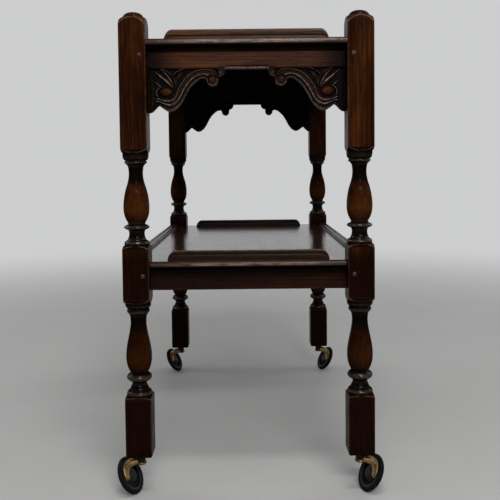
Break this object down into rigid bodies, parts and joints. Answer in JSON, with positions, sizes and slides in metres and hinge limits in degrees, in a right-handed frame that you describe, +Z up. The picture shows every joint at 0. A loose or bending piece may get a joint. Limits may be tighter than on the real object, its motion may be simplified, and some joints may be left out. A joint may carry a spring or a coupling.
{
  "type": "serving trolley",
  "caption": "Dark oak serving trolley with an upper and a lower shelf, turned legs on swivelling casters, carved scroll end friezes, low gallery strips and raised shelf lips.",
  "frame": {"origin": "on the floor under the middle of the trolley", "axes": "+Z up, +X across the trolley, +Y along its length from the front end to the back end"},
  "size_m": [0.4392, 0.7736, 0.79],
  "materials": {
    "turned_oak": "dark stain with a satin polish, rubbed lighter on the rings",
    "shelf_oak": "dark stain with a satin polish",
    "carved_oak": "dark stain, rubbed lighter on the carved edges",
    "rail_oak": "dark stain, dull",
    "peg_oak": "dark stain, rubbed end grain",
    "raw_oak": "unpolished, darkened with age",
    "raw_beech": "bare",
    "screw_steel": "dull steel",
    "aged_brass": "aged and tarnished",
    "dark_iron": "blackened, dull",
    "black_rubber": "hard black rubber, dusty"
  },
  "bodies": {
    "frame": {"caster_back_left_socket": "aged_brass", "caster_back_right_socket": "aged_brass", "caster_front_left_socket": "aged_brass", "caster_front_right_socket": "aged_brass", "gallery_dowels": "raw_beech", "leg_back_left": "turned_oak", "leg_back_right": "turned_oak", "leg_front_left": "turned_oak", "leg_front_right": "turned_oak", "lower_end_rail_back": "rail_oak", "lower_end_rail_front": "rail_oak", "lower_gallery_back": "shelf_oak", "lower_gallery_front": "shelf_oak", "lower_glue_blocks": "raw_oak", "lower_shelf_board": "shelf_oak", "lower_side_moulding_left": "shelf_oak", "lower_side_moulding_right": "shelf_oak", "lower_side_rail_left": "rail_oak", "lower_side_rail_right": "rail_oak", "rail_pegs": "peg_oak", "shelf_screws": "screw_steel", "upper_end_frieze_back": "carved_oak", "upper_end_frieze_front": "carved_oak", "upper_gallery_back": "shelf_oak", "upper_gallery_front": "shelf_oak", "upper_glue_blocks": "raw_oak", "upper_shelf_board": "shelf_oak", "upper_side_moulding_left": "shelf_oak", "upper_side_moulding_right": "shelf_oak", "upper_side_rail_left": "rail_oak", "upper_side_rail_right": "rail_oak"},
    "swivel_front_left": {"caster_front_left_stem": "dark_iron", "caster_front_left_hood": "aged_brass", "caster_front_left_axle": "dark_iron", "caster_front_left_hub_cap": "dark_iron"},
    "wheel_front_left": {"caster_front_left_wheel": "dark_iron", "caster_front_left_tyre": "black_rubber"},
    "swivel_front_right": {"caster_front_right_stem": "dark_iron", "caster_front_right_hood": "aged_brass", "caster_front_right_axle": "dark_iron", "caster_front_right_hub_cap": "dark_iron"},
    "wheel_front_right": {"caster_front_right_wheel": "dark_iron", "caster_front_right_tyre": "black_rubber"},
    "swivel_back_left": {"caster_back_left_stem": "dark_iron", "caster_back_left_hood": "aged_brass", "caster_back_left_axle": "dark_iron", "caster_back_left_hub_cap": "dark_iron"},
    "wheel_back_left": {"caster_back_left_wheel": "dark_iron", "caster_back_left_tyre": "black_rubber"},
    "swivel_back_right": {"caster_back_right_stem": "dark_iron", "caster_back_right_hood": "aged_brass", "caster_back_right_axle": "dark_iron", "caster_back_right_hub_cap": "dark_iron"},
    "wheel_back_right": {"caster_back_right_wheel": "dark_iron", "caster_back_right_tyre": "black_rubber"}
  },
  "joints": [
    {"name": "caster_front_left_swivel", "type": "hinge", "parent": "frame", "child": "swivel_front_left", "pos_m": [-0.1825, -0.3565, 0.06], "axis": [0, 0, 1], "continuous": true},
    {"name": "caster_front_left_roll", "type": "hinge", "parent": "swivel_front_left", "child": "wheel_front_left", "pos_m": [-0.2005, -0.3565, 0.02788], "axis": [0.8318, -0.2703, 0.4848], "continuous": true},
    {"name": "caster_front_right_swivel", "type": "hinge", "parent": "frame", "child": "swivel_front_right", "pos_m": [0.1825, -0.3565, 0.06], "axis": [0, 0, 1], "continuous": true},
    {"name": "caster_front_right_roll", "type": "hinge", "parent": "swivel_front_right", "child": "wheel_front_right", "pos_m": [0.2005, -0.3565, 0.02788], "axis": [-0.8318, -0.2703, 0.4848], "continuous": true},
    {"name": "caster_back_left_swivel", "type": "hinge", "parent": "frame", "child": "swivel_back_left", "pos_m": [-0.1825, 0.3565, 0.06], "axis": [0, 0, 1], "continuous": true},
    {"name": "caster_back_left_roll", "type": "hinge", "parent": "swivel_back_left", "child": "wheel_back_left", "pos_m": [-0.2005, 0.3565, 0.02788], "axis": [0.8318, -0.2703, 0.4848], "continuous": true},
    {"name": "caster_back_right_swivel", "type": "hinge", "parent": "frame", "child": "swivel_back_right", "pos_m": [0.1825, 0.3565, 0.06], "axis": [0, 0, 1], "continuous": true},
    {"name": "caster_back_right_roll", "type": "hinge", "parent": "swivel_back_right", "child": "wheel_back_right", "pos_m": [0.2005, 0.3565, 0.02788], "axis": [-0.8318, -0.2703, 0.4848], "continuous": true}
  ]
}
